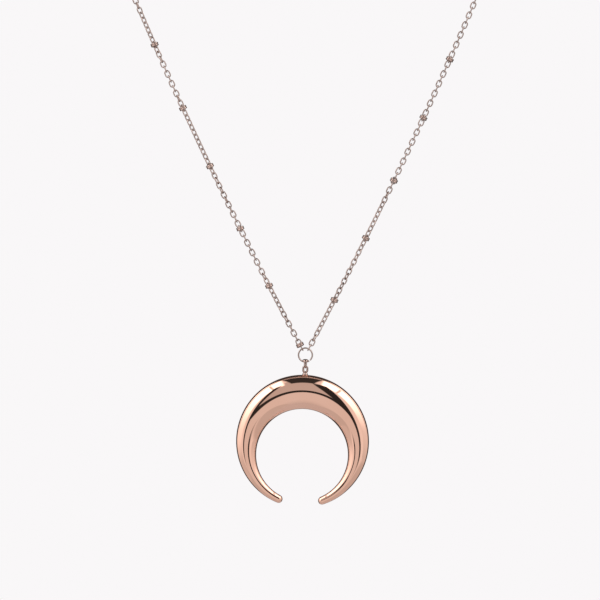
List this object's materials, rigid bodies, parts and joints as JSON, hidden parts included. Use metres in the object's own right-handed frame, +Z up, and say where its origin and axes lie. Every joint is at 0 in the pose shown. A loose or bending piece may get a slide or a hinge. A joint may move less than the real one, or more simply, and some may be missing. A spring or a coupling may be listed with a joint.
{
  "type": "pendant necklace",
  "caption": "Open crescent pendant on a fine cable chain with small ring stations, a lobster clasp and an extender.",
  "frame": {"origin": "middle of the clasp on the nape of the neck, where the necklace is held", "axes": "+Z up, -Y the way the pendant faces, +X to the right as seen from the front"},
  "size_m": [0.1247, 0.0612, 0.2185],
  "materials": {
    "rose_gold_polished": "mirror polished rose gold plate",
    "rose_gold_wire": "bright rose gold plated wire",
    "spring_steel": "bright drawn wire"
  },
  "bodies": {
    "neck_chain": {"chain_left_7": "rose_gold_wire", "chain_left_8": "rose_gold_wire", "chain_left_9": "rose_gold_wire", "chain_left_10": "rose_gold_wire", "chain_left_11": "rose_gold_wire", "chain_left_12": "rose_gold_wire", "chain_right_7": "rose_gold_wire", "chain_right_8": "rose_gold_wire", "chain_right_9": "rose_gold_wire", "chain_right_10": "rose_gold_wire", "chain_right_11": "rose_gold_wire", "chain_right_12": "rose_gold_wire", "stations_neck": "rose_gold_polished", "clasp_ring": "rose_gold_wire", "clasp_body": "rose_gold_wire", "clasp_pin": "spring_steel", "clasp_spring": "spring_steel", "end_ring": "rose_gold_wire"},
    "upper_strands": {"chain_left_4": "rose_gold_wire", "chain_left_5": "rose_gold_wire", "chain_left_6": "rose_gold_wire", "chain_right_4": "rose_gold_wire", "chain_right_5": "rose_gold_wire", "chain_right_6": "rose_gold_wire", "stations_upper": "rose_gold_polished"},
    "lower_strands": {"chain_left_1": "rose_gold_wire", "chain_left_2": "rose_gold_wire", "chain_left_3": "rose_gold_wire", "chain_right_1": "rose_gold_wire", "chain_right_2": "rose_gold_wire", "chain_right_3": "rose_gold_wire", "stations_lower": "rose_gold_polished"},
    "jump_ring": {"jump_ring": "rose_gold_wire"},
    "bail": {"bail_link": "rose_gold_wire"},
    "pendant": {"pendant_front_shell": "rose_gold_polished", "pendant_back_shell": "rose_gold_polished", "eyelet_collar": "rose_gold_wire", "eyelet": "rose_gold_wire"},
    "clasp_lever": {"clasp_lever": "rose_gold_wire"},
    "extender_upper": {"extender_upper": "rose_gold_wire"},
    "extender_lower": {"extender_lower": "rose_gold_wire"},
    "drop_ring": {"drop_ring": "rose_gold_wire"},
    "drop": {"drop": "rose_gold_polished"}
  },
  "joints": [
    {"name": "front_swing", "type": "hinge", "parent": "neck_chain", "child": "upper_strands", "pos_m": [0, -0.05476, -0.06108], "axis": [1, 0, 0], "range_deg": [-25, 25]},
    {"name": "lower_front_swing", "type": "hinge", "parent": "upper_strands", "child": "lower_strands", "pos_m": [0, -0.05476, -0.11661], "axis": [1, 0, 0], "range_deg": [-30, 30]},
    {"name": "jump_ring_rock", "type": "hinge", "parent": "lower_strands", "child": "jump_ring", "pos_m": [0, -0.05476, -0.16928], "axis": [1, 0, 0], "range_deg": [-30, 30]},
    {"name": "bail_swing", "type": "hinge", "parent": "jump_ring", "child": "bail", "pos_m": [0, -0.05476, -0.1711], "axis": [0, 1, 0], "range_deg": [-35, 35]},
    {"name": "pendant_swing", "type": "hinge", "parent": "bail", "child": "pendant", "pos_m": [0, -0.05476, -0.17467], "axis": [1, 0, 0], "range_deg": [-30, 30]},
    {"name": "clasp_lever_press", "type": "hinge", "parent": "neck_chain", "child": "clasp_lever", "pos_m": [-0.00129, 0, -0.0007], "axis": [0, -1, 0], "range_deg": [0, 25], "stiffness_Nm_per_rad": 0.0002, "springref_deg": -17.19},
    {"name": "extender_swing", "type": "hinge", "parent": "neck_chain", "child": "extender_upper", "pos_m": [0.00607, 0.00134, 0], "axis": [0.766, -0.6428, 0], "range_deg": [-10, 60]},
    {"name": "extender_tail_swing", "type": "hinge", "parent": "extender_upper", "child": "extender_lower", "pos_m": [0.00607, 0.00134, -0.02298], "axis": [0.766, -0.6428, 0], "range_deg": [-40, 40]},
    {"name": "drop_ring_swing", "type": "hinge", "parent": "extender_lower", "child": "drop_ring", "pos_m": [0.00607, 0.00134, -0.04708], "axis": [0.766, -0.6428, 0], "range_deg": [-45, 45]},
    {"name": "drop_swing", "type": "hinge", "parent": "drop_ring", "child": "drop", "pos_m": [0.00607, 0.00134, -0.04909], "axis": [0.6428, 0.766, 0], "range_deg": [-40, 40]}
  ]
}
